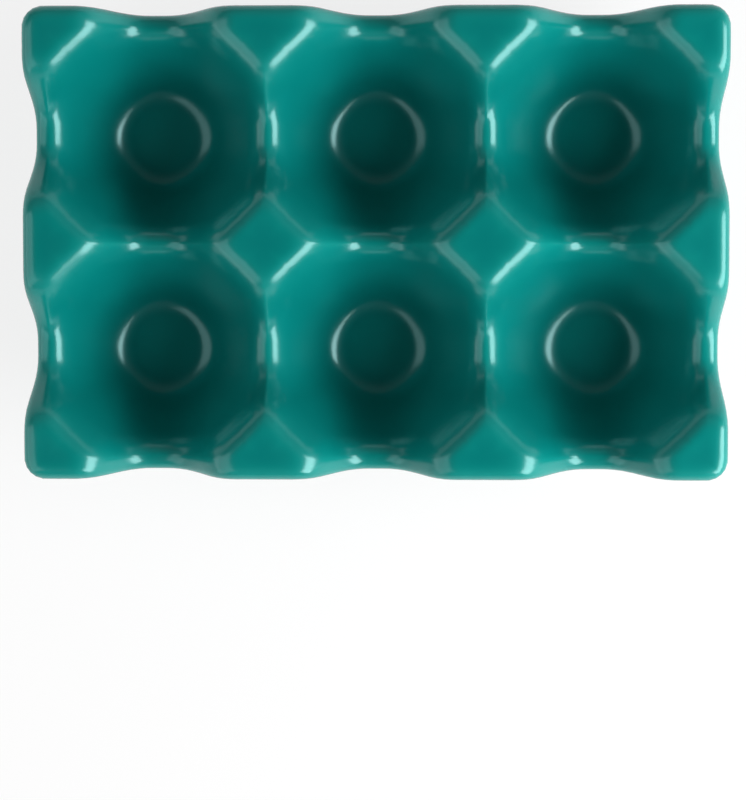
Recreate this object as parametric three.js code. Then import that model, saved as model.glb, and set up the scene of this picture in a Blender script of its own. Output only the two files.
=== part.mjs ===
// A six-cup egg tray, slip cast in stoneware. Six cup sections meet face to face on the ridge lines
// between them, and each stands on a ring of bare clay. Millimetres, +Z up, origin on the resting
// plane below the middle of the tray, +X along the tray and -Y towards the front.
import * as THREE from 'three';

// Layout of the cups
const columns = 3;
const rows = 2;
const pitchX = 50;
const pitchY = 48.8;

// Heights above the resting plane
const landHeight = 36;
const dipHeight = 23.7;
const floorHeight = 4.6;
const tunnelHeight = 13.4;
const footHeight = 0.8;

// Reaches from a cup's axis to its walls' feet and, along the cell's diagonal, to the land's edge
const floorRadius = 10.8;
const bowlRadius = 9.9;
const landSetback = 26;
const baseRadius = 14.2;

// The collar stands out from the outer cells by the overhang at land height and leans in below it
const rimOverhang = 5.1;
const collarLean = THREE.MathUtils.degToRad(7);
const cornerRadius = 5;

// Roundings. The upright edges between a well's flat walls fade over a height of wall, and so do
// these walls into the round bowl at the floor. The valleys between the cups' outsides open with
// the square of their height, up to a limit, and the ridges lose a share of their rounding as they
// climb to the lands.
const crestRadius = 2.6;
const tunnelRadius = 1.2;
const floorFillet = 5;
const baseRounding = 3.6;
const landRounding = 4;
const lipRadius = 3.4;
const collarEdgeRadius = 2.4;
const wellEdgeBlend = 8;
const bowlEdgeBlend = 3;
const bowlSlope = 1.2;
const crisperAtLands = 0.6;
const valleyLevels = { least: 0.3, most: 1.6 };

// Bare clay foot rings
const footOuterRadius = 11.4;
const footInnerRadius = 7.4;

// Fineness of the mesh
const segmentsPerSide = 12;
const footSegments = 24;
const wallShares = [0.35, 0.7];
const undersideShares = [0.88, 0.66, 0.34];
const shoulderSteps = [0, 0.5, 1];
const shoulderShare = 0.75;
const rimAngles = [60, 40, 22, -8, -30, -55].map(THREE.MathUtils.degToRad);
const bisections = 44;

const halfX = pitchX / 2;
const halfY = pitchY / 2;

// Minimum and maximum that run into each other along a parabola
function smoothMin(a, b, blend) {
  const overlap = Math.max(blend - Math.abs(a - b), 0);
  return Math.min(a, b) - overlap * overlap / (4 * blend);
}

function smoothMax(a, b, blend) {
  return -smoothMin(-a, -b, blend);
}

// Slope of a wall that climbs to a crest, where it meets its mirror image in an arc
function slopeToCrest(run, rise, radius) {
  return (run - Math.sqrt(run * run - 2 * radius * rise)) / radius;
}

// Blend that gives two mirrored slopes the asked radius at their crest, and how far it lowers them
function crestBlendFor(slope, radius) {
  return 2 * slope * slope * radius;
}

function crestDropFor(blend) {
  return blend / 4;
}

// Blend that gives a slope the asked radius where it meets a level
function levelBlendFor(slope, radius) {
  return slope * slope * radius / 2;
}

// Blend that rounds a square edge to the asked radius
function edgeBlendFor(radius) {
  return 4 * radius * (1 - Math.SQRT1_2);
}

// Inside of a cup: eight flat walls, steeper towards the lands than towards the ridges, over a bowl
const insideRise = dipHeight - floorHeight;
const insideSlopeX = slopeToCrest(halfX - floorRadius, insideRise, crestRadius);
const crestBlend = crestBlendFor(insideSlopeX, crestRadius);
const insideSlopeY = (insideRise + crestDropFor(crestBlend)) / (halfY - floorRadius);
const insideSlopeLand = (landHeight - floorHeight) / (landSetback - floorRadius);
const floorBlend = levelBlendFor(bowlSlope, floorFillet);
const landBlend = levelBlendFor(insideSlopeLand, landRounding);

// Outside of a cup: a plain cone that parts from its neighbours at the tunnels
const outsideRise = tunnelHeight - footHeight;
const outsideSlope = slopeToCrest(halfX - baseRadius, outsideRise, tunnelRadius);
const tunnelBlend = crestBlendFor(outsideSlope, tunnelRadius);
const baseBlend = levelBlendFor(outsideSlope, baseRounding);

const lipBlend = edgeBlendFor(lipRadius);
const collarEdgeBlend = edgeBlendFor(collarEdgeRadius);

// How far (x, y) reaches from a cup's axis towards the land at its cell's corner
function reachToLand(x, y) {
  const meanHalf = (halfX + halfY) / 2;
  return (Math.abs(x) / halfX + Math.abs(y) / halfY) * meanHalf * Math.SQRT1_2;
}

// Height of one cup's inner walls and floor at (x, y) from its axis
function insideWall(x, y) {
  const wallX = (Math.abs(x) - floorRadius) * insideSlopeX;
  const wallY = (Math.abs(y) - floorRadius) * insideSlopeY;
  const wallLand = (reachToLand(x, y) - floorRadius) * insideSlopeLand;
  const walls = smoothMax(smoothMax(wallX, wallY, wellEdgeBlend), wallLand, wellEdgeBlend);
  const bowl = (Math.hypot(x, y) - bowlRadius) * bowlSlope;
  return floorHeight + smoothMax(smoothMax(walls, bowl, bowlEdgeBlend), 0, floorBlend);
}

// Height of one cup's outer wall and base at (x, y) from its axis
function outsideWall(x, y) {
  const wall = (Math.hypot(x, y) - baseRadius) * outsideSlope;
  return footHeight + smoothMax(wall, 0, baseBlend);
}

// Blends where neighbouring walls of these heights meet
function ridgeBlend(a, b) {
  const crest = Math.min(a, b) - crestDropFor(crestBlend);
  const level = (crest - dipHeight) / (landHeight - dipHeight);
  return crestBlend * (1 - crisperAtLands * THREE.MathUtils.clamp(level, 0, 1));
}

function valleyBlend(a, b) {
  const level = Math.min(a, b) / tunnelHeight;
  return tunnelBlend * THREE.MathUtils.clamp(level, valleyLevels.least, valleyLevels.most) ** 2;
}

// Offsets from the nearest cup's axis and from that of its neighbour, along one direction.
// The row of cups either goes on for ever or ends with the last cup.
function offsetsFromCups(position, pitch, count, endless) {
  const middle = (count - 1) / 2;
  const nearest = Math.round(position / pitch + middle);
  const index = endless ? nearest : THREE.MathUtils.clamp(nearest, 0, count - 1);
  const own = position - (index - middle) * pitch;
  const neighbour = index + (own < 0 ? -1 : 1);
  const exists = endless || (neighbour >= 0 && neighbour < count);
  return exists ? [own, position - (neighbour - middle) * pitch] : [own];
}

// Height at (x, y) on the tray where neighbouring cups' walls meet in rounded crests
function joinedWalls(x, y, wall, blendFor, endless) {
  const join = (a, b) => smoothMin(a, b, blendFor(a, b));
  const offsetsX = offsetsFromCups(x, pitchX, columns, endless);
  const offsetsY = offsetsFromCups(y, pitchY, rows, endless);
  return offsetsY.map((dy) => offsetsX.map((dx) => wall(dx, dy)).reduce(join)).reduce(join);
}

// The rim is a crest like any ridge, as if there were cups beyond it, and goes on level outwards
function upperFace(x, y) {
  const trayX = THREE.MathUtils.clamp(x, -columns * halfX, columns * halfX);
  const trayY = THREE.MathUtils.clamp(y, -rows * halfY, rows * halfY);
  const walls = joinedWalls(trayX, trayY, insideWall, ridgeBlend, true);
  return smoothMin(walls, landHeight, landBlend);
}

function lowerFace(x, y) {
  return joinedWalls(x, y, outsideWall, valleyBlend, false);
}

// Distance outside the collar, which is a rounded rectangle at every height
function outsideCollar(x, y, z) {
  const overhang = rimOverhang - (landHeight - z) * Math.tan(collarLean);
  const fromFlatX = Math.abs(x) - (columns * halfX + overhang - cornerRadius);
  const fromFlatY = Math.abs(y) - (rows * halfY + overhang - cornerRadius);
  const corner = Math.hypot(Math.max(fromFlatX, 0), Math.max(fromFlatY, 0));
  return corner + Math.min(Math.max(fromFlatX, fromFlatY), 0) - cornerRadius;
}

// Negative in the clay, positive in the air
function clayField(point) {
  const collar = outsideCollar(point.x, point.y, point.z);
  const above = point.z - upperFace(point.x, point.y);
  const below = lowerFace(point.x, point.y) - point.z;
  return Math.max(smoothMax(above, collar, lipBlend), smoothMax(below, collar, collarEdgeBlend));
}

// Where a straight line from a point in the clay comes out of it
function surfacePoint(start, direction) {
  let inside = 0;
  let outside = landHeight;
  const point = new THREE.Vector3();
  for (let step = 0; step < bisections; step += 1) {
    const middle = (inside + outside) / 2;
    point.copy(start).addScaledVector(direction, middle);
    if (clayField(point) < 0) inside = middle;
    else outside = middle;
  }
  return point;
}

const up = new THREE.Vector3(0, 0, 1);
const down = new THREE.Vector3(0, 0, -1);

// Middle of the clay above (x, y)
function clayMiddle(x, y) {
  return new THREE.Vector3(x, y, (upperFace(x, y) + lowerFace(x, y)) / 2);
}

// The four sides of a cell, anticlockwise from +X
const sideNormals = [[1, 0], [0, 1], [-1, 0], [0, -1]].map(([x, y]) => new THREE.Vector2(x, y));

// Spokes of a cup: each has its point on the cell's border and, on the tray's outer sides, the way
// out to the collar, which fans round at the tray's corners
function cupSpokes(outerSides) {
  const spokes = [];
  sideNormals.forEach((normal, side) => {
    const before = (side + 3) % 4;
    const after = (side + 1) % 4;
    for (let segment = 0; segment < segmentsPerSide; segment += 1) {
      const along = 2 * segment / segmentsPerSide - 1;
      const tangent = new THREE.Vector2(-normal.y, normal.x);
      const border = normal.clone().addScaledVector(tangent, along).multiply({ x: halfX, y: halfY });
      const outward = new THREE.Vector2();
      if (outerSides[side]) outward.add(normal);
      if (outerSides[side] && outerSides[after] && along > 0) {
        outward.addScaledVector(sideNormals[after], along ** 2);
      }
      if (outerSides[before] && (segment === 0 || (outerSides[side] && along < 0))) {
        outward.addScaledVector(sideNormals[before], along ** 2);
      }
      spokes.push({ border, outward });
    }
  });
  return spokes;
}

// Points of one spoke from the cup's floor, over the ridge or rim, to its base
function spokePoints(centre, { border, outward }) {
  const reach = border.length();
  const place = (radius) => border.clone().multiplyScalar(radius / reach).add(centre);
  const pointsAt = (radii, direction) => radii.map((radius) => {
    const spot = place(radius);
    return surfacePoint(clayMiddle(spot.x, spot.y), direction);
  });
  const between = (start, end) => (share) => start + (end - start) * share;

  const floorZone = floorBlend / bowlSlope;
  const wallFoot = bowlRadius + floorZone;
  const landEdge = landSetback * reach / reachToLand(border.x, border.y);
  const landZone = landBlend / insideSlopeLand;
  const crestZone = insideSlopeX * crestRadius;
  const shoulderStart = Math.min(landEdge - landZone, reach - crestZone);
  const shoulderEnd = Math.min(landEdge + landZone, between(shoulderStart, reach)(shoulderShare));
  const shoulder = shoulderSteps.map(between(shoulderStart, shoulderEnd));
  const walls = wallShares.map(between(wallFoot, shoulderStart));
  const insideRadii = [bowlRadius - floorZone, bowlRadius, wallFoot, ...walls, ...shoulder];
  const insidePoints = pointsAt(insideRadii, up);

  const baseZone = baseBlend / outsideSlope;
  const wallBase = baseRadius + baseZone;
  const outsides = undersideShares.map(between(wallBase, reach));
  const undersideRadii = [...outsides, wallBase, baseRadius, baseRadius - baseZone];
  const undersidePoints = pointsAt(undersideRadii, down);

  const edge = place(reach);
  const middle = clayMiddle(edge.x, edge.y);
  const crest = surfacePoint(middle, up);
  const arch = surfacePoint(middle, down);
  const isOuter = outward.lengthSq() > 0;
  const rimPoints = rimAngles.map((angle, index) => {
    if (!isOuter) return crest.clone().lerp(arch, (index + 1) / (rimAngles.length + 1));
    const away = new THREE.Vector3(outward.x, outward.y, 0).multiplyScalar(Math.cos(angle));
    return surfacePoint(middle, away.setZ(Math.sin(angle)));
  });
  return [...insidePoints, crest, ...rimPoints, arch, ...undersidePoints];
}

// One cup section as a closed mesh around its own axis
function cupGeometry(column, row, centre) {
  const outerSides = [column === columns - 1, row === rows - 1, column === 0, row === 0];
  const lines = cupSpokes(outerSides).map((spoke) => spokePoints(centre, spoke));
  const rings = lines[0].length;
  const positions = [];
  const add = (point) => positions.push(point.x - centre.x, point.y - centre.y, point.z);
  lines.flat().forEach(add);
  const floorCentre = positions.length / 3;
  add(new THREE.Vector3(centre.x, centre.y, floorHeight));
  const baseCentre = floorCentre + 1;
  add(new THREE.Vector3(centre.x, centre.y, footHeight));

  const triangles = [];
  lines.forEach((line, index) => {
    const here = index * rings;
    const next = ((index + 1) % lines.length) * rings;
    triangles.push(floorCentre, here, next);
    for (let ring = 0; ring < rings - 1; ring += 1) {
      triangles.push(here + ring, here + ring + 1, next + ring + 1);
      triangles.push(here + ring, next + ring + 1, next + ring);
    }
    triangles.push(baseCentre, next + rings - 1, here + rings - 1);
  });

  const geometry = new THREE.BufferGeometry();
  geometry.setAttribute('position', new THREE.Float32BufferAttribute(positions, 3));
  geometry.setIndex(triangles);
  geometry.computeVertexNormals();
  return geometry;
}

// Flat ring of bare clay that a cup stands on
function footGeometry() {
  const section = [
    [footInnerRadius, 0],
    [footOuterRadius, 0],
    [footOuterRadius, footHeight],
    [footInnerRadius, footHeight],
    [footInnerRadius, 0],
  ].map(([radius, height]) => new THREE.Vector2(radius, height));
  return new THREE.LatheGeometry(section, footSegments).rotateX(Math.PI / 2);
}

const glaze = new THREE.MeshStandardMaterial({ color: 0x0a7a73, roughness: 0.25, metalness: 0 });
const bareClay = new THREE.MeshStandardMaterial({ color: 0xcfc3b2, roughness: 0.85, metalness: 0 });

const columnNames = ['left', 'middle', 'right'];
const rowNames = ['front', 'back'];

const tray = new THREE.Group();
for (let row = 0; row < rows; row += 1) {
  for (let column = 0; column < columns; column += 1) {
    const centre = new THREE.Vector2(
      (column - (columns - 1) / 2) * pitchX,
      (row - (rows - 1) / 2) * pitchY,
    );
    const place = `${rowNames[row]}_${columnNames[column]}`;
    const station = new THREE.Group();
    station.position.set(centre.x, centre.y, 0);

    const cup = new THREE.Mesh(cupGeometry(column, row, centre), glaze);
    cup.name = `cup_${place}`;
    const foot = new THREE.Mesh(footGeometry(), bareClay);
    foot.name = `foot_${place}`;
    station.add(cup, foot);
    tray.add(station);
  }
}

export default tray;
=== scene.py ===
# %% [markdown]
# A glazed stoneware egg tray, three wells by two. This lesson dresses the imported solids: it grows one
# smooth glazed casting over the six cup sections, gives every cup its ring of bare clay, and then sets
# up a floor, studio light and a camera above the tray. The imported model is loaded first. It is the frame
# that every later size and place is taken from.

import bmesh
import bpy
import numpy as np
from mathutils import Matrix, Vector


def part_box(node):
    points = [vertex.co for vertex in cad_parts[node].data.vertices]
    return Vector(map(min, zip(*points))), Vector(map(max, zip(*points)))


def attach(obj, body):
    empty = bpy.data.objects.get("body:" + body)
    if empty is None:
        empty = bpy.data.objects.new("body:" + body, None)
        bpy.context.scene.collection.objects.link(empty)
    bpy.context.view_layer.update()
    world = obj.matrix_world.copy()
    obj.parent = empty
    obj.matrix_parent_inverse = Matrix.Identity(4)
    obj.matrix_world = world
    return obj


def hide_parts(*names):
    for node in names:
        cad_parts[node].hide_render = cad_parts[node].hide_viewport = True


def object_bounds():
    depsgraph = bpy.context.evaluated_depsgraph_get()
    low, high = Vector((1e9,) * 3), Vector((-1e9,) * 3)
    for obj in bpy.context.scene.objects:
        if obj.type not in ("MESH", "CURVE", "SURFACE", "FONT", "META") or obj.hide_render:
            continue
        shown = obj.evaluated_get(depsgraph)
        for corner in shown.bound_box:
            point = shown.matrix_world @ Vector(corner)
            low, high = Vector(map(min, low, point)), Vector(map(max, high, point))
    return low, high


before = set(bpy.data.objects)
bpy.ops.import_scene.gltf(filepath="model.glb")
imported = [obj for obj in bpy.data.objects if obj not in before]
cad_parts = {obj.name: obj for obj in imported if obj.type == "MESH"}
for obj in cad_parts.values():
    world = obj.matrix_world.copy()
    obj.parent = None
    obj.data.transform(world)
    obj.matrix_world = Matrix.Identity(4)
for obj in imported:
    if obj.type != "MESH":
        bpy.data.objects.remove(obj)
cad_low, cad_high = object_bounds()
print("solids", len(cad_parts), "box in mm", [round(1000 * side, 2) for side in cad_high - cad_low])

# %% [markdown]
# The wells stand on a grid. Each foot ring sits under the middle of its well, so the grid's pitch can be
# read from the boxes of the feet, and the height of the flat lands from the top of the whole part. The
# sizes that no box shows, such as how deep the rim dips, are written down once here, in metres.

# %% Sizes of the casting
MM = 0.001
COLUMN_NAMES = ["left", "middle", "right"]
ROW_NAMES = ["front", "back"]


def box_middle(node):
    low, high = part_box(node)
    return (low + high) / 2


PITCH_X = box_middle("foot_front_right").x - box_middle("foot_front_middle").x
PITCH_Y = box_middle("foot_back_middle").y - box_middle("foot_front_middle").y
HALF_X, HALF_Y = PITCH_X / 2, PITCH_Y / 2
COLUMNS, ROWS = len(COLUMN_NAMES), len(ROW_NAMES)

LAND_HEIGHT = cad_high.z
FOOT_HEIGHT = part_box("foot_front_middle")[1].z
DIP_HEIGHT = 23.7 * MM
FLOOR_HEIGHT = 4.6 * MM
TUNNEL_HEIGHT = 13.4 * MM

FLOOR_RADIUS = 11.9 * MM
BOWL_RADIUS = 10.9 * MM
LAND_SETBACK = 26.0 * MM
BASE_RADIUS = 14.2 * MM
print("pitch in mm", round(PITCH_X / MM, 2), round(PITCH_Y / MM, 2))
print("land height in mm", round(LAND_HEIGHT / MM, 2))

# %% [markdown]
# Cast clay has no sharp edge anywhere: the plaster mould is carved soft, and the glaze rounds it
# further. Rounded edges could be bevelled onto a hard mesh afterwards, but here walls of different
# slopes meet, so the surface is written as heights, and two heights run into each other along a
# parabola. The blend is how far apart the two may be before the rounding ends, and it follows from the
# radius that the edge should have.

# %% Heights that run into each other
CREST_RADIUS = 2.6 * MM
TUNNEL_RADIUS = 1.2 * MM
FLOOR_FILLET = 6.0 * MM
BOWL_BLEND = 2.0 * MM
BOWL_SLOPE = 1.2
BASE_ROUNDING = 3.6 * MM
LAND_ROUNDING = 3.4 * MM
WELL_EDGE_BLEND = 8 * MM


def smooth_min(a, b, blend):
    overlap = np.maximum(blend - np.abs(a - b), 0)
    return np.minimum(a, b) - overlap**2 / (4 * blend)


def smooth_max(a, b, blend):
    return -smooth_min(-a, -b, blend)


def slope_to_crest(run, rise, radius):
    return (run - np.sqrt(run * run - 2 * radius * rise)) / radius


def level_blend(slope, radius):
    return slope**2 * radius / 2


INSIDE_RISE = DIP_HEIGHT - FLOOR_HEIGHT
INSIDE_SLOPE_X = slope_to_crest(HALF_X - FLOOR_RADIUS, INSIDE_RISE, CREST_RADIUS)
CREST_BLEND = 2 * INSIDE_SLOPE_X**2 * CREST_RADIUS
INSIDE_SLOPE_Y = (INSIDE_RISE + CREST_BLEND / 4) / (HALF_Y - FLOOR_RADIUS)
INSIDE_SLOPE_LAND = (LAND_HEIGHT - FLOOR_HEIGHT) / (LAND_SETBACK - FLOOR_RADIUS)
OUTSIDE_SLOPE = slope_to_crest(HALF_X - BASE_RADIUS, TUNNEL_HEIGHT - FOOT_HEIGHT, TUNNEL_RADIUS)
TUNNEL_BLEND = 2 * OUTSIDE_SLOPE**2 * TUNNEL_RADIUS
wall_slopes = [INSIDE_SLOPE_X, INSIDE_SLOPE_Y, INSIDE_SLOPE_LAND, OUTSIDE_SLOPE]
print("wall slopes", [round(float(slope), 3) for slope in wall_slopes])

# %% [markdown]
# Inside, a well has eight flat walls: four climb to the ridges and four, steeper ones, to the lands at
# its corners. Lower down they run into a round bowl with a flat floor, which an egg stands on. Outside,
# each cup is a plain cone. All of these are heights over the distance from the well's own axis.

# %% One well and one cup
VALLEY_LEAST, VALLEY_MOST = 0.3, 1.6
SHARPER_AT_LANDS = 0.6


def inside_wall(x, y):
    mean_half = (HALF_X + HALF_Y) / 2
    reach = (np.abs(x) / HALF_X + np.abs(y) / HALF_Y) * mean_half / np.sqrt(2)
    wall_x = (np.abs(x) - FLOOR_RADIUS) * INSIDE_SLOPE_X
    wall_y = (np.abs(y) - FLOOR_RADIUS) * INSIDE_SLOPE_Y
    wall_land = (reach - FLOOR_RADIUS) * INSIDE_SLOPE_LAND
    walls = smooth_max(smooth_max(wall_x, wall_y, WELL_EDGE_BLEND), wall_land, WELL_EDGE_BLEND)
    bowl = (np.hypot(x, y) - BOWL_RADIUS) * BOWL_SLOPE
    walls = smooth_max(walls, bowl, BOWL_BLEND)
    return FLOOR_HEIGHT + smooth_max(walls, 0 * walls, level_blend(BOWL_SLOPE, FLOOR_FILLET))


def outside_wall(x, y):
    wall = (np.hypot(x, y) - BASE_RADIUS) * OUTSIDE_SLOPE
    return FOOT_HEIGHT + smooth_max(wall, 0 * wall, level_blend(OUTSIDE_SLOPE, BASE_ROUNDING))


def ridge_blend(a, b):
    level = np.clip((np.minimum(a, b) - DIP_HEIGHT - CREST_BLEND / 4) / (LAND_HEIGHT - DIP_HEIGHT), 0, 1)
    return CREST_BLEND * (1 - SHARPER_AT_LANDS * level)


def valley_blend(a, b):
    level = np.clip(np.minimum(a, b) / TUNNEL_HEIGHT, VALLEY_LEAST, VALLEY_MOST)
    return TUNNEL_BLEND * level**2


print("well floor to land in mm", round(float(inside_wall(HALF_X, HALF_Y) - inside_wall(0.0, 0.0)) / MM, 2))

# %% [markdown]
# The wells are joined by taking, at each place, the lower of two neighbours' heights. On the upper face
# the grid goes on for ever, which makes the rim a crest like any ridge. On the lower face it ends with
# the last cup, because nothing stands beyond it. A cup that isn't there is given a height far above
# everything.

# %% Join the wells
NOWHERE = 10.0


def offsets_from_cups(position, pitch, count, endless):
    middle = (count - 1) / 2
    index = np.floor(position / pitch + middle + 0.5)
    if not endless:
        index = np.clip(index, 0, count - 1)
    own = position - (index - middle) * pitch
    neighbour = index + np.where(own < 0, -1, 1)
    other = position - (neighbour - middle) * pitch
    if not endless:
        other = np.where((neighbour >= 0) & (neighbour < count), other, NOWHERE)
    return own, other


def joined_walls(x, y, wall, blend_for, endless):
    def join(a, b):
        return smooth_min(a, b, blend_for(a, b))

    near_x, far_x = offsets_from_cups(x, PITCH_X, COLUMNS, endless)
    near_y, far_y = offsets_from_cups(y, PITCH_Y, ROWS, endless)
    lines = [join(wall(near_x, dy), wall(far_x, dy)) for dy in (near_y, far_y)]
    return join(*lines)


def upper_face(x, y):
    x = np.clip(x, -COLUMNS * HALF_X, COLUMNS * HALF_X)
    y = np.clip(y, -ROWS * HALF_Y, ROWS * HALF_Y)
    walls = joined_walls(x, y, inside_wall, ridge_blend, True)
    return smooth_min(walls, LAND_HEIGHT, level_blend(INSIDE_SLOPE_LAND, LAND_ROUNDING))


def lower_face(x, y):
    return joined_walls(x, y, outside_wall, valley_blend, False)


middle_dip = upper_face(np.array([0.0]), np.array([0.0]))[0]
print("dip of the ridge at the tray's middle in mm", round(float(middle_dip) / MM, 2))

# %% [markdown]
# The rim is closed by a collar that leans in below a rolled lip. A height can't describe it, since the
# collar overhangs, so the clay is written as a field: negative inside the clay, positive in the air. The
# surface is then found on straight lines that start in the clay, by halving the step until the field
# changes sign.

# %% The clay as a field
RIM_OVERHANG = 5.1 * MM
COLLAR_LEAN = np.radians(7)
CORNER_RADIUS = 5 * MM
LIP_RADIUS = 3.4 * MM
COLLAR_EDGE_RADIUS = 2.4 * MM
HALVINGS = 40


def edge_blend(radius):
    return 4 * radius * (1 - np.sqrt(0.5))


def outside_collar(x, y, z):
    overhang = RIM_OVERHANG - (LAND_HEIGHT - z) * np.tan(COLLAR_LEAN)
    from_x = np.abs(x) - (COLUMNS * HALF_X + overhang - CORNER_RADIUS)
    from_y = np.abs(y) - (ROWS * HALF_Y + overhang - CORNER_RADIUS)
    corner = np.hypot(np.maximum(from_x, 0), np.maximum(from_y, 0))
    return corner + np.minimum(np.maximum(from_x, from_y), 0) - CORNER_RADIUS


def clay_field(points):
    x, y, z = np.moveaxis(points, -1, 0)
    collar = outside_collar(x, y, z)
    above = smooth_max(z - upper_face(x, y), collar, edge_blend(LIP_RADIUS))
    below = smooth_max(lower_face(x, y) - z, collar, edge_blend(COLLAR_EDGE_RADIUS))
    return np.maximum(above, below)


def surface_points(start, way):
    inside = np.zeros(start.shape[:-1])
    outside = np.full(start.shape[:-1], LAND_HEIGHT)
    for _ in range(HALVINGS):
        middle = (inside + outside) / 2
        in_clay = clay_field(start + way * middle[..., None]) < 0
        inside = np.where(in_clay, middle, inside)
        outside = np.where(in_clay, outside, middle)
    return start + way * outside[..., None]


over_floor = np.array([[PITCH_X, HALF_Y, FLOOR_HEIGHT - MM]])
found_floor = surface_points(over_floor, np.array([[0.0, 0.0, 1.0]]))
print("floor of a well in mm", round(float(found_floor[0, 2]) / MM, 2))

# %% [markdown]
# Each cup is sampled along spokes, from its floor up the wall, over the ridge or round the rim, and back
# under to its base. Spokes end on the cell's border at the same places as the neighbour's, so the six
# patches share their border points and close into one skin. A plain grid would be simpler, but its lines
# would cross the round floors and the lip at odd angles. At the tray's corners the outer spokes fan out
# round the lip.

# %% Spokes of a cup
SPOKES_PER_SIDE = 32
SIDE_NORMALS = np.array([[1, 0], [0, 1], [-1, 0], [0, -1]], float)


def spokes(outer_sides):
    borders, outwards = [], []
    for side, normal in enumerate(SIDE_NORMALS):
        before, after = SIDE_NORMALS[side - 1], SIDE_NORMALS[(side + 1) % 4]
        for step in range(SPOKES_PER_SIDE):
            along = 2 * step / SPOKES_PER_SIDE - 1
            outward = normal * outer_sides[side]
            if outer_sides[side] and outer_sides[(side + 1) % 4] and along > 0:
                outward = outward + after * along**2
            if outer_sides[side - 1] and (step == 0 or (outer_sides[side] and along < 0)):
                outward = outward + before * along**2
            borders.append((normal + after * along) * [HALF_X, HALF_Y])
            outwards.append(outward)
    return np.array(borders), np.array(outwards)


corner_borders, corner_outwards = spokes([True, True, False, False])
print("spokes", len(corner_borders), "of which on the rim", int(np.any(corner_outwards != 0, axis=1).sum()))

# %% [markdown]
# Rings of points lie close together round the floor's fillet, up the wall to the ridge, and round the
# base's shoulder. The flat floor and the flat base need few. Even rings would do too, but a shiny surface
# shows every facet in its highlights, so all of them would have to be just as close.

# %% Points of a cup
FLAT_RADII, FILLET_RADII = np.linspace(2.2, 6.5, 3), np.linspace(7.2, 15, 11)
SHOULDER_RADII, BASE_RADII = np.linspace(16.2, 11.5, 7), [8, 4]
FLOOR_RINGS = np.concatenate([FLAT_RADII, FILLET_RADII]) * MM
BASE_RINGS = np.concatenate([SHOULDER_RADII, BASE_RADII]) * MM
WALL_RINGS, UNDER_RINGS, RIM_STEPS = 28, 20, 27
UP, DOWN = 1.0, -1.0


def clay_middle(xy):
    heights = (upper_face(xy[..., 0], xy[..., 1]) + lower_face(xy[..., 0], xy[..., 1])) / 2
    return np.concatenate([xy, heights[..., None]], axis=-1)


def face_points(centre, border, radii, direction):
    unit = border / np.linalg.norm(border, axis=1, keepdims=True)
    start = clay_middle(centre + unit[:, None, :] * radii[..., None])
    way = np.zeros_like(start)
    way[..., 2] = direction
    return surface_points(start, way)


def cup_lines(column, row):
    outer_sides = [column == COLUMNS - 1, row == ROWS - 1, column == 0, row == 0]
    border, outward = spokes(outer_sides)
    centre = np.array([(column - (COLUMNS - 1) / 2) * PITCH_X, (row - (ROWS - 1) / 2) * PITCH_Y])
    reach = np.linalg.norm(border, axis=1, keepdims=True)
    ones = np.ones_like(reach)

    shares = np.linspace(0, 1, WALL_RINGS + 1)[1:]
    wall_radii = FLOOR_RINGS[-1] + (reach - FLOOR_RINGS[-1]) * shares
    inside = face_points(centre, border, np.hstack([ones * FLOOR_RINGS, wall_radii]), UP)

    shares = np.linspace(1, 0, UNDER_RINGS + 1)[1:]
    under_radii = BASE_RINGS[0] + (reach - BASE_RINGS[0]) * shares
    under = face_points(centre, border, np.hstack([under_radii, ones * BASE_RINGS[1:]]), DOWN)

    turns = np.radians(np.linspace(90, -90, RIM_STEPS + 1)[1:])
    way = np.concatenate([
        outward[:, None, :] * np.cos(turns)[None, :, None],
        np.tile(np.sin(turns)[None, :, None], (len(border), 1, 1)),
    ], axis=-1)
    start = np.repeat(clay_middle(centre + border)[:, None, :], len(turns), axis=1)
    rim = surface_points(start, way)
    return inside, rim, under, np.any(outward != 0, axis=1), centre


inside, rim, under, on_rim, centre = cup_lines(0, 0)
print("points on a spoke", inside.shape[1] + rim.shape[1] + under.shape[1])

# %% [markdown]
# The patches become one mesh. Faces between a spoke's rim points are only wanted where the cup is on the
# tray's edge: between two cups there is clay, not surface. Points that lie on each other are then merged,
# so the shading runs on from cup to cup without a seam. Six meshes side by side would show their borders.

# %% The casting's mesh
MERGE_DISTANCE = 0.002 * MM


def casting_faces(first, spoke_count, ring_count, rim_start, rim_end, on_rim):
    floor_point = first + spoke_count * ring_count
    faces = []
    for spoke in range(spoke_count):
        after = (spoke + 1) % spoke_count
        here, there = first + spoke * ring_count, first + after * ring_count
        faces.append((floor_point, here, there))
        for ring in range(ring_count - 1):
            if rim_start <= ring < rim_end and not (on_rim[spoke] and on_rim[after]):
                continue
            faces.append((here + ring, here + ring + 1, there + ring + 1, there + ring))
        faces.append((floor_point + 1, there + ring_count - 1, here + ring_count - 1))
    return faces


points, faces = [], []
for row in range(ROWS):
    for column in range(COLUMNS):
        inside, rim, under, on_rim, centre = cup_lines(column, row)
        lines = np.concatenate([inside, rim, under], axis=1)
        spoke_count, ring_count = lines.shape[:2]
        rim_start = inside.shape[1] - 1
        rim_end = rim_start + rim.shape[1]
        faces += casting_faces(len(points), spoke_count, ring_count, rim_start, rim_end, on_rim)
        points += lines.reshape(-1, 3).tolist()
        points += [[*centre, FLOOR_HEIGHT], [*centre, FOOT_HEIGHT]]

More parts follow.
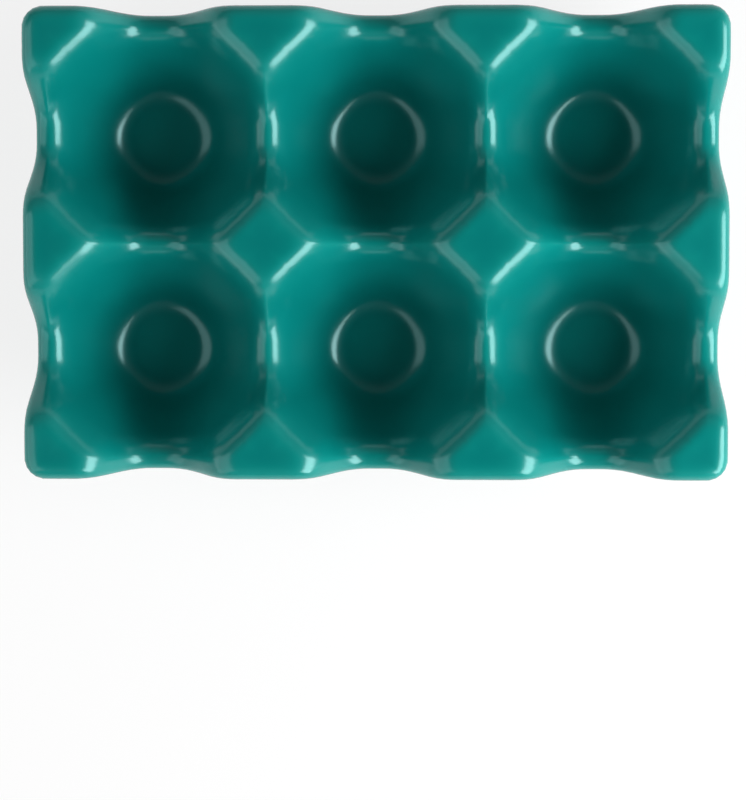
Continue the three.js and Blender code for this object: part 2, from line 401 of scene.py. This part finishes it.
casting_mesh = bpy.data.meshes.new("tray_casting")
casting_mesh.from_pydata(points, [], faces)
shaper = bmesh.new()
shaper.from_mesh(casting_mesh)
bmesh.ops.remove_doubles(shaper, verts=shaper.verts, dist=MERGE_DISTANCE)
loose = [vertex for vertex in shaper.verts if not vertex.link_faces]
bmesh.ops.delete(shaper, geom=loose, context="VERTS")
open_edges = sum(1 for edge in shaper.edges if not edge.is_manifold)
bmesh.ops.recalc_face_normals(shaper, faces=shaper.faces)
shaper.to_mesh(casting_mesh)
shaper.free()
casting_mesh.shade_smooth()
casting = bpy.data.objects.new("tray_casting", casting_mesh)
bpy.context.scene.collection.objects.link(casting)
print("casting points", len(casting_mesh.vertices), "open edges", open_edges)

# %% [markdown]
# The fine mesh reaches a hair further than the faceted solids, because it has points on the very crest
# of the lip. So that the dressed part stays inside the solids' box, the mesh is drawn in by that hair.

# %% Fit the casting to the box
spots = np.empty(len(casting_mesh.vertices) * 3)
casting_mesh.vertices.foreach_get("co", spots)
spots = spots.reshape(-1, 3)
box_size = np.array(cad_high - cad_low)
fit = np.minimum(box_size / (spots.max(axis=0) - spots.min(axis=0)), 1.0)
fit[2] = 1.0
spots *= fit
casting_mesh.vertices.foreach_set("co", spots.ravel())
casting_mesh.update()
print("drawn in by", [round(float(1 - share), 6) for share in fit])

# %% [markdown]
# Molten glaze runs: it is drawn thin over edges that bulge, where the clay shines through, and pools
# where the surface hollows. A Geometry node's pointiness would show that too, but only while rendering.
# Here it is measured once on the mesh, as how fast the normal turns along each edge, smoothed a little,
# and kept as an attribute that the material can read.

# %% Measure where the glaze runs thin
SMOOTHING_ROUNDS = 12
FULL_BULGE = 260.0
SHORTEST_SQUARED = 1e-12


def neighbour_mean(values, edges):
    total, number = np.zeros_like(values), np.zeros_like(values)
    for here, there in ((0, 1), (1, 0)):
        np.add.at(total, edges[:, here], values[edges[:, there]])
        np.add.at(number, edges[:, here], 1)
    return total / number


count = len(casting_mesh.vertices)
edges = np.empty(len(casting_mesh.edges) * 2, np.int32)
casting_mesh.edges.foreach_get("vertices", edges)
edges = edges.reshape(-1, 2)
normals = np.empty(count * 3, np.float32)
casting_mesh.vertices.foreach_get("normal", normals)
normals = normals.reshape(-1, 3)
along = spots[edges[:, 1]] - spots[edges[:, 0]]
squared = np.maximum((along**2).sum(axis=1), SHORTEST_SQUARED)
turning = ((normals[edges[:, 1]] - normals[edges[:, 0]]) * along).sum(axis=1) / squared
bulge = np.zeros(count)
number = np.zeros(count)
for end in (0, 1):
    np.add.at(bulge, edges[:, end], turning)
    np.add.at(number, edges[:, end], 1)
bulge /= number
for _ in range(SMOOTHING_ROUNDS):
    bulge = (bulge + neighbour_mean(bulge, edges)) / 2
bulge = np.clip(bulge / FULL_BULGE, -1, 1)
attribute = casting_mesh.attributes.new("bulge", "FLOAT", "POINT")
attribute.data.foreach_set("value", bulge.astype(np.float32))
print("bulge from", round(float(bulge.min()), 2), "to", round(float(bulge.max()), 2))

# %% [markdown]
# Under each cup the glaze is wiped off in a ring before firing, or the tray would stick to the kiln
# shelf. The ring that is left is bare clay. A bevelled cylinder would do from afar. Here a section with
# softened edges is turned round the cup's axis instead, because then the face that stands on the table
# can waver a little, up from the resting plane, as a wiped and ground foot does.

# %% Foot rings
FOOT_INNER_RADIUS = 7.4 * MM
FOOT_EDGE = 0.22 * MM
FOOT_WAVER = 0.12 * MM
WAVES = 3
FOOT_STEPS = 96
EDGE_STEPS = 4
INSET = 0.05 * MM


def foot_section(inner, outer):
    inside, outside = inner + FOOT_EDGE, outer - FOOT_EDGE
    bottom, top = FOOT_EDGE, FOOT_HEIGHT - FOOT_EDGE
    edge_middles = [(outside, bottom), (outside, top), (inside, top), (inside, bottom)]
    section = []
    for quarter, (radius, height) in enumerate(edge_middles):
        for step in range(EDGE_STEPS + 1):
            turn = np.pi / 2 * (quarter - 1 + step / EDGE_STEPS)
            section.append((radius + FOOT_EDGE * np.cos(turn), height + FOOT_EDGE * np.sin(turn)))
    return section


def foot_ring(place, first_turn):
    low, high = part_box(f"foot_{place}")
    middle = (low + high) / 2
    outer = (high.x - low.x) / 2 - INSET
    inner = FOOT_INNER_RADIUS + INSET
    section = foot_section(inner, outer)
    ring_points, ring_faces = [], []
    for step in range(FOOT_STEPS):
        turn = 2 * np.pi * step / FOOT_STEPS
        waver = FOOT_WAVER * (1 + np.sin(WAVES * turn + first_turn)) / 2
        across, along = np.cos(turn), np.sin(turn)
        for radius, height in section:
            lifted = height + waver * (1 - height / FOOT_HEIGHT)
            ring_points.append((middle.x + radius * across, middle.y + radius * along, lifted))
    for step in range(FOOT_STEPS):
        here, there = step * len(section), (step + 1) % FOOT_STEPS * len(section)
        for spot in range(len(section)):
            beside = (spot + 1) % len(section)
            ring_faces.append((here + spot, there + spot, there + beside, here + beside))
    mesh = bpy.data.meshes.new(f"foot_ring_{place}")
    mesh.from_pydata(ring_points, [], ring_faces)
    mesh.shade_smooth()
    ring = bpy.data.objects.new(f"foot_ring_{place}", mesh)
    bpy.context.scene.collection.objects.link(ring)
    return ring


places = [f"{row}_{column}" for row in ROW_NAMES for column in COLUMN_NAMES]
foot_rings = {place: foot_ring(place, number) for number, place in enumerate(places)}
print("foot rings", len(foot_rings), "points in each", len(foot_rings["front_left"].data.vertices))

# %% [markdown]
# Fired clay and glaze both carry fine unevenness, at their own scales. The same noise nodes could be
# built in each material, but a node group keeps the effect in one place: it takes two scales, and gives
# out a soft cloud, for colour, and a grain, for a bump.

# %% Node group for unevenness
CLOUD_DETAIL, GRAIN_DETAIL = 3.0, 2.0


def unevenness_group():
    group = bpy.data.node_groups.new("Unevenness", "ShaderNodeTree")
    nodes, links = group.nodes, group.links
    entry, leave = nodes.new("NodeGroupInput"), nodes.new("NodeGroupOutput")
    place = nodes.new("ShaderNodeTexCoord")
    for result, detail in (("Cloud", CLOUD_DETAIL), ("Grain", GRAIN_DETAIL)):
        size = f"{result} Scale"
        group.interface.new_socket(name=size, in_out="INPUT", socket_type="NodeSocketFloat")
        group.interface.new_socket(name=result, in_out="OUTPUT", socket_type="NodeSocketFloat")
        noise = nodes.new("ShaderNodeTexNoise")
        noise.inputs["Detail"].default_value = detail
        links.new(place.outputs["Object"], noise.inputs["Vector"])
        links.new(entry.outputs[size], noise.inputs["Scale"])
        links.new(noise.outputs["Fac"], leave.inputs[result])
    return group


unevenness = unevenness_group()
print("group", unevenness.name, "with", len(unevenness.nodes), "nodes")

# %% [markdown]
# A finish is a small network of nodes, and a few steps come back in each: start a material, shift a
# value into another range, turn it into a colour, turn it into a bump, or join two values. Nodes could
# be placed by hand each time, but short helpers let a material read like its recipe.

# %% Helpers for nodes


def new_material(name):
    material = bpy.data.materials.new(name)
    material.use_nodes = True
    nodes = material.node_tree.nodes
    return material, nodes, material.node_tree.links, nodes["Principled BSDF"]


def place_unevenness(nodes, cloud_scale, grain_scale):
    group = nodes.new("ShaderNodeGroup")
    group.node_tree = unevenness
    group.inputs["Cloud Scale"].default_value = cloud_scale
    group.inputs["Grain Scale"].default_value = grain_scale
    return group


def map_range(nodes, links, value, source, target):
    node = nodes.new("ShaderNodeMapRange")
    links.new(value, node.inputs["Value"])
    for name, number in zip(("From Min", "From Max", "To Min", "To Max"), (*source, *target)):
        node.inputs[name].default_value = number
    return node.outputs["Result"]


def ramp(nodes, links, value, stops):
    node = nodes.new("ShaderNodeValToRGB")
    links.new(value, node.inputs["Fac"])
    elements = node.color_ramp.elements
    while len(elements) < len(stops):
        elements.new(0.5)
    for element, (position, colour) in zip(elements, stops):
        element.position = position
        element.color = colour
    return node.outputs["Color"]


def bump(nodes, links, height, strength, distance):
    node = nodes.new("ShaderNodeBump")
    node.inputs["Strength"].default_value = strength
    node.inputs["Distance"].default_value = distance
    links.new(height, node.inputs["Height"])
    return node.outputs["Normal"]


def join_values(nodes, links, operation, first, second):
    node = nodes.new("ShaderNodeMath")
    node.operation = operation
    links.new(first, node.inputs[0])
    links.new(second, node.inputs[1])
    return node.outputs["Value"]


helpers = [new_material, place_unevenness, map_range, ramp, bump, join_values]
print("helpers", [helper.__name__ for helper in helpers])

# %% [markdown]
# The glaze is a glassy teal coat. Where it pools it is deep and dark, over the edges it is paler and
# greener. A single colour would look like plastic. Here it is read from the measured bulge, stirred a
# little by the cloud, and a shallow bump gives the shine the slow ripple of a surface that was once
# liquid.

# %% Glaze
GLAZE_POOLED = (0.0005, 0.138, 0.130, 1)
GLAZE_EVEN = (0.0009, 0.182, 0.168, 1)
GLAZE_THIN = (0.0030, 0.240, 0.210, 1)
GLAZE_STOPS = [(0.2, GLAZE_POOLED), (0.5, GLAZE_EVEN), (0.85, GLAZE_THIN)]
GLAZE_SHINE = (0.6, 1, 1, 1)
GLAZE_IOR = 1.6
GLAZE_ROUGHNESS = (0.19, 0.26)
GLAZE_CLOUD_SCALE, GLAZE_RIPPLE_SCALE = 60.0, 420.0
GLAZE_STIR = (-0.06, 0.06)
GLAZE_RIPPLE_STRENGTH, GLAZE_RIPPLE_DEPTH = 0.12, 0.1 * MM
NOISE_RANGE = (0.3, 0.7)


def glaze_material():
    material, nodes, links, shader = new_material("teal_glaze")
    uneven = place_unevenness(nodes, GLAZE_CLOUD_SCALE, GLAZE_RIPPLE_SCALE)
    measured = nodes.new("ShaderNodeAttribute")
    measured.attribute_name = "bulge"
    stir = map_range(nodes, links, uneven.outputs["Cloud"], NOISE_RANGE, GLAZE_STIR)
    stirred = join_values(nodes, links, "ADD", measured.outputs["Fac"], stir)
    thinness = map_range(nodes, links, stirred, (-1, 1), (0, 1))
    links.new(ramp(nodes, links, thinness, GLAZE_STOPS), shader.inputs["Base Color"])
    roughness = map_range(nodes, links, uneven.outputs["Cloud"], NOISE_RANGE, GLAZE_ROUGHNESS)
    links.new(roughness, shader.inputs["Roughness"])
    ripple = bump(nodes, links, uneven.outputs["Grain"], GLAZE_RIPPLE_STRENGTH, GLAZE_RIPPLE_DEPTH)
    links.new(ripple, shader.inputs["Normal"])
    shader.inputs["IOR"].default_value = GLAZE_IOR
    shader.inputs["Specular Tint"].default_value = GLAZE_SHINE
    return material


glaze = glaze_material()
casting_mesh.materials.append(glaze)
print("material", glaze.name, "with", len(glaze.node_tree.nodes), "nodes")

# %% [markdown]
# Bare stoneware is a warm buff body with fine sand in it and small iron specks that bleed brown in the
# kiln. The specks could be dots of their own, but they are many and lie in the clay, so they come from
# the small cells of a Voronoi pattern. The body takes the same unevenness as the glaze, at a finer
# scale.

# %% Bare clay
CLAY_LIGHT = (0.66, 0.585, 0.475, 1)
CLAY_DARK = (0.47, 0.39, 0.29, 1)
CLAY_STOPS = [(0.3, CLAY_DARK), (0.7, CLAY_LIGHT)]
CLAY_SPECK = (0.12, 0.062, 0.03, 1)
CLAY_ROUGHNESS = (0.78, 0.92)
CLAY_CLOUD_SCALE, CLAY_SAND_SCALE, SPECK_SCALE = 180.0, 2600.0, 620.0
CLAY_SAND_STRENGTH, CLAY_SAND_DEPTH = 0.5, 0.12 * MM
SPECK_EDGE = (0.12, 0.2)


def clay_material():
    material, nodes, links, shader = new_material("bare_clay")
    uneven = place_unevenness(nodes, CLAY_CLOUD_SCALE, CLAY_SAND_SCALE)
    body = ramp(nodes, links, uneven.outputs["Cloud"], CLAY_STOPS)
    place = nodes.new("ShaderNodeTexCoord")
    cells = nodes.new("ShaderNodeTexVoronoi")
    cells.inputs["Scale"].default_value = SPECK_SCALE
    links.new(place.outputs["Object"], cells.inputs["Vector"])
    speck = map_range(nodes, links, cells.outputs["Distance"], SPECK_EDGE, (1, 0))
    mix = nodes.new("ShaderNodeMix")
    mix.data_type = "RGBA"
    links.new(speck, mix.inputs["Factor"])
    links.new(body, mix.inputs["A"])
    mix.inputs["B"].default_value = CLAY_SPECK
    links.new(mix.outputs["Result"], shader.inputs["Base Color"])
    roughness = map_range(nodes, links, uneven.outputs["Grain"], NOISE_RANGE, CLAY_ROUGHNESS)
    links.new(roughness, shader.inputs["Roughness"])
    sand = bump(nodes, links, uneven.outputs["Grain"], CLAY_SAND_STRENGTH, CLAY_SAND_DEPTH)
    links.new(sand, shader.inputs["Normal"])
    return material


bare_clay = clay_material()
for ring in foot_rings.values():
    ring.data.materials.append(bare_clay)
print("material", bare_clay.name, "with", len(bare_clay.node_tree.nodes), "nodes")

# %% [markdown]
# The new pieces now take the place of the plain solids. The casting stands for all six cup sections,
# because on the real tray they are one piece, and each ring stands for the foot that it was turned from.
# The solids could have kept their shape and taken a finish instead, but their facets and seams would
# show in the glaze.

# %% Put the pieces in the frame
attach(casting, "root")
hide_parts(*[f"cup_{place}" for place in places])
for place, ring in foot_rings.items():
    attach(ring, "root")
    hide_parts(f"foot_{place}")
print("pieces", 1 + len(foot_rings))

# %% [markdown]
# The tray stands on a studio's floor, which sweeps up into a wall far behind, so that no horizon shows.
# A plain square would do for a picture from above. The sweep is a profile, a long flat stretch, a
# quarter circle and the wall, turned once round the tray, so that it looks alike from every side.

# %% Floor
FLOOR_REACH, SWEEP_RADIUS, WALL_HEIGHT = 8.0, 2.0, 3.0
SWEEP_STEPS, ROUND_STEPS = 12, 64


def floor_sweep():
    turns = np.linspace(0, np.pi / 2, SWEEP_STEPS + 1)
    radii, heights = FLOOR_REACH + SWEEP_RADIUS * np.sin(turns), SWEEP_RADIUS * (1 - np.cos(turns))
    profile = [*zip(radii, heights), (FLOOR_REACH + SWEEP_RADIUS, WALL_HEIGHT)]
    points, faces = [(0, 0, 0)], []
    for step in range(ROUND_STEPS):
        turn = 2 * np.pi * step / ROUND_STEPS
        points += [(radius * np.cos(turn), radius * np.sin(turn), height) for radius, height in profile]
        here, there = 1 + step * len(profile), 1 + (step + 1) % ROUND_STEPS * len(profile)
        faces.append((0, here, there))
        for spot in range(len(profile) - 1):
            faces.append((here + spot, here + spot + 1, there + spot + 1, there + spot))
    mesh = bpy.data.meshes.new("floor")
    mesh.from_pydata(points, [], faces)
    mesh.shade_smooth()
    return mesh


floor = bpy.data.objects.new("floor", floor_sweep())
bpy.context.scene.collection.objects.link(floor)
print("floor reaches", FLOOR_REACH + SWEEP_RADIUS, "m, wall", WALL_HEIGHT, "m high")

# %% [markdown]
# The floor is matt and nearly white, but the lamps only reach a small part of it, so the rest would be
# grey. More light would spoil the tray. Instead the camera, and anything shiny, sees a share of plain
# white mixed into the matt surface, which lifts the far end and still keeps the tray's shadow.

# %% Floor finish
FLOOR_COLOUR = (0.9, 0.9, 0.9, 1)
WHITE = (1, 1, 1, 1)
WHITE_SHARE = 0.8


def floor_material():
    material = bpy.data.materials.new("white_floor")
    material.use_nodes = True
    nodes, links = material.node_tree.nodes, material.node_tree.links
    nodes.remove(nodes["Principled BSDF"])
    matt = nodes.new("ShaderNodeBsdfDiffuse")
    matt.inputs["Color"].default_value = FLOOR_COLOUR
    white = nodes.new("ShaderNodeEmission")
    white.inputs["Color"].default_value = WHITE
    rays = nodes.new("ShaderNodeLightPath").outputs
    shiny = join_values(nodes, links, "MAXIMUM", rays["Is Glossy Ray"], rays["Is Transmission Ray"])
    seen = join_values(nodes, links, "MAXIMUM", rays["Is Camera Ray"], shiny)
    blend = nodes.new("ShaderNodeMixShader")
    links.new(map_range(nodes, links, seen, (0, 1), (0, WHITE_SHARE)), blend.inputs["Fac"])
    links.new(matt.outputs["BSDF"], blend.inputs[1])
    links.new(white.outputs["Emission"], blend.inputs[2])
    links.new(blend.outputs["Shader"], nodes["Material Output"].inputs["Surface"])
    return material


floor.data.materials.append(floor_material())
print("floor seen as white by a share of", WHITE_SHARE)

# %% [markdown]
# Glaze is told by its highlights, so the light is a studio's: a wide softbox low on the right and a
# larger, much weaker one on the left. Both stand low, which lights the walls of the wells and leaves
# their floors in shade. One lamp straight above would be simpler, but it would flatten the wells and
# whiten the lands.

# %% Light
TARGET = Vector((0, 0, LAND_HEIGHT / 2))


def softbox(name, azimuth, elevation, distance, size, brightness):
    turn, tilt = np.radians(azimuth), np.radians(elevation)
    way = Vector((np.cos(turn) * np.cos(tilt), np.sin(turn) * np.cos(tilt), np.sin(tilt)))
    lamp = bpy.data.lights.new(name, "AREA")
    lamp.shape = "RECTANGLE"
    lamp.size, lamp.size_y = size
    lamp.energy = brightness * np.pi * size[0] * size[1]
    holder = bpy.data.objects.new(name, lamp)
    holder.location = TARGET + way * distance
    holder.rotation_euler = (-way).to_track_quat("-Z", "Y").to_euler()
    bpy.context.scene.collection.objects.link(holder)
    return holder


softbox("softbox_right", azimuth=-21, elevation=29, distance=0.6, size=(0.70, 0.34), brightness=8.8)
softbox("softbox_left", azimuth=200, elevation=34, distance=0.7, size=(0.8, 0.7), brightness=1.35)

# %% [markdown]
# Round the softboxes there is still the room, which fills the shadows. A real studio's walls send back
# some of the light and its ceiling is dark. An even grey world would be simpler, but it would put a haze
# on the flat lands, which mirror what is overhead, so a ramp over the direction's height darkens the
# ceiling.

# %% Room
ROOM_STOPS = [(0.0, 0.20), (0.7, 0.20), (0.95, 0.03), (1.0, 0.0)]

world = bpy.data.worlds.new("studio")
bpy.context.scene.world = world
world.use_nodes = True
nodes, links = world.node_tree.nodes, world.node_tree.links
direction = nodes.new("ShaderNodeTexCoord")
axes = nodes.new("ShaderNodeSeparateXYZ")
links.new(direction.outputs["Generated"], axes.inputs["Vector"])
stops = [(position, (level, level, level, 1)) for position, level in ROOM_STOPS]
brightness = ramp(nodes, links, axes.outputs["Z"], stops)
links.new(brightness, nodes["Background"].inputs["Color"])
print("room brightness at the horizon", ROOM_STOPS[0][1], "overhead", ROOM_STOPS[-1][1])

# %% [markdown]
# The camera stands over the tray, a little to the right of its middle: the floors of the wells lie
# deeper than the lands, and how far they slide against them in a picture tells where it was taken from.
# In the picture the tray fills the width and sits in the upper part. A lens shift could put it there,
# but that would stay in every other view, so the camera is tipped until the tray's middle lands on its
# place. The lens follows from how long the tray is in the picture at that distance.

# %% Camera
PICTURE_WIDTH, PICTURE_HEIGHT = 747, 800
TRAY_MIDDLE_PIXEL = (374.5, 243.6)
TRAY_LENGTH_PIXELS = 709.5
CAMERA_ABOVE_LANDS = 0.68
CAMERA_ASIDE = 0.022
CAMERA_BEHIND = 0.006

pixels_per_metre = TRAY_LENGTH_PIXELS / (cad_high.x - cad_low.x)
focal_pixels = pixels_per_metre * CAMERA_ABOVE_LANDS
camera_data = bpy.data.cameras.new("camera")
camera_data.lens = camera_data.sensor_width * focal_pixels / PICTURE_HEIGHT
camera = bpy.data.objects.new("camera", camera_data)
camera.location = (CAMERA_ASIDE, CAMERA_BEHIND, LAND_HEIGHT + CAMERA_ABOVE_LANDS)
across = np.arctan((TRAY_MIDDLE_PIXEL[0] - PICTURE_WIDTH / 2) / focal_pixels)
down = np.arctan((TRAY_MIDDLE_PIXEL[1] - PICTURE_HEIGHT / 2) / focal_pixels)
camera.rotation_euler = (
    down - np.arctan(CAMERA_BEHIND / CAMERA_ABOVE_LANDS),
    across + np.arctan(CAMERA_ASIDE / CAMERA_ABOVE_LANDS),
    0,
)
bpy.context.scene.collection.objects.link(camera)
bpy.context.scene.camera = camera
bpy.context.scene.view_settings.view_transform = "Standard"
print("lens in mm", round(camera_data.lens, 1), "camera at", [round(way, 4) for way in camera.location])
